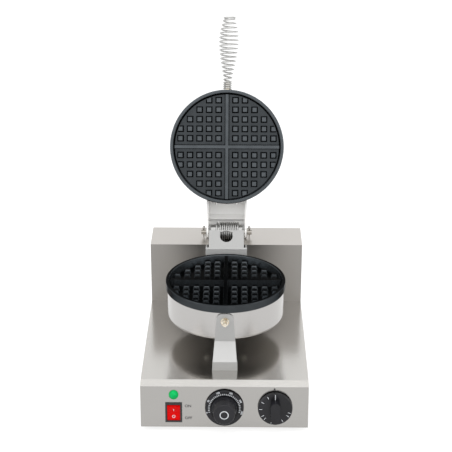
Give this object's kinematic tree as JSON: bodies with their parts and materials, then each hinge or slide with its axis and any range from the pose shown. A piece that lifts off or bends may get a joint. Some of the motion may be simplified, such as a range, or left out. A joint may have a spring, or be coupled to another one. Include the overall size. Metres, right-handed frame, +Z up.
{
  "type": "electric waffle iron",
  "caption": "Countertop electric waffle iron: round grid plates, hinged lid with coiled wire handle, stainless base with switch, lamp, thermostat and timer knobs.",
  "frame": {"origin": "on the surface that the feet stand on, under the middle of the open iron's bounding box", "axes": "+Z up, +Y from the control panel to the back, +X to the right as seen from the front"},
  "size_m": [0.25, 0.4681, 0.5267],
  "materials": {
    "stainless": "brushed stainless sheet",
    "bright_steel": "plain bright sheet and turned steel",
    "wire": "polished wound wire",
    "coated_plate": "cast, dark non-stick coating",
    "knob": "moulded, satin black",
    "black_plastic": "moulded black",
    "red_plastic": "glossy, translucent red",
    "green_lens": "glossy green lens",
    "rubber": "moulded rubber",
    "brass": "pale plated brass",
    "element": "oxidised heater tube",
    "copper": "copper bulb",
    "wool": "ceramic wool",
    "ceramic": "cream ceramic and plastic"
  },
  "bodies": {
    "base": {"base_shell": "stainless", "base_plate": "stainless", "feet": "rubber", "foot_screws": "bright_steel", "rear_housing": "stainless", "rear_cover": "stainless", "cover_screws": "bright_steel", "cable_gland": "black_plastic", "terminal_block": "ceramic", "switch_body": "black_plastic", "lamp_lens": "green_lens", "lamp_body": "black_plastic", "thermostat_body": "ceramic", "timer_body": "ceramic", "lower_casing": "stainless", "lower_plate": "coated_plate", "lower_element": "element", "lower_insulation": "wool", "lower_tie_screws": "bright_steel", "thermostat_bulb": "copper", "front_leg": "bright_steel", "leg_bolt": "brass", "leg_nut": "brass", "leg_screws": "bright_steel", "hinge_bracket": "bright_steel", "bracket_bolts": "bright_steel", "hinge_pin": "bright_steel", "hinge_sleeve": "bright_steel", "hinge_spring": "wire", "split_pins": "bright_steel", "hinge_washers": "bright_steel"},
    "lid": {"lid_arm": "bright_steel", "lid_arm_screws": "bright_steel", "lid_casing": "stainless", "lid_plate": "coated_plate", "lid_element": "element", "lid_insulation": "wool", "lid_tie_screws": "bright_steel", "handle_stud": "brass", "handle_grip": "wire"},
    "rocker": {"switch_rocker": "red_plastic"},
    "thermostat_control": {"thermostat_knob": "knob", "thermostat_spindle": "bright_steel"},
    "timer_control": {"timer_knob": "knob", "timer_spindle": "bright_steel"}
  },
  "joints": [
    {"name": "lid_hinge", "type": "hinge", "parent": "base", "child": "lid", "pos_m": [0, 0.09761, 0.1921], "axis": [1, 0, 0], "range_deg": [0, 108.7]},
    {"name": "switch_rock", "type": "hinge", "parent": "base", "child": "rocker", "pos_m": [-0.0755, -0.20521, 0.03202], "axis": [-1, 0, 0], "range_deg": [0, 16]},
    {"name": "thermostat_turn", "type": "hinge", "parent": "base", "child": "thermostat_control", "pos_m": [0, -0.2064, 0.04106], "axis": [0, 0.9959, -0.0905], "range_deg": [-135, 135]},
    {"name": "timer_turn", "type": "hinge", "parent": "base", "child": "timer_control", "pos_m": [0.0755, -0.2064, 0.04106], "axis": [0, 0.9959, -0.0905], "range_deg": [0, 300]}
  ]
}
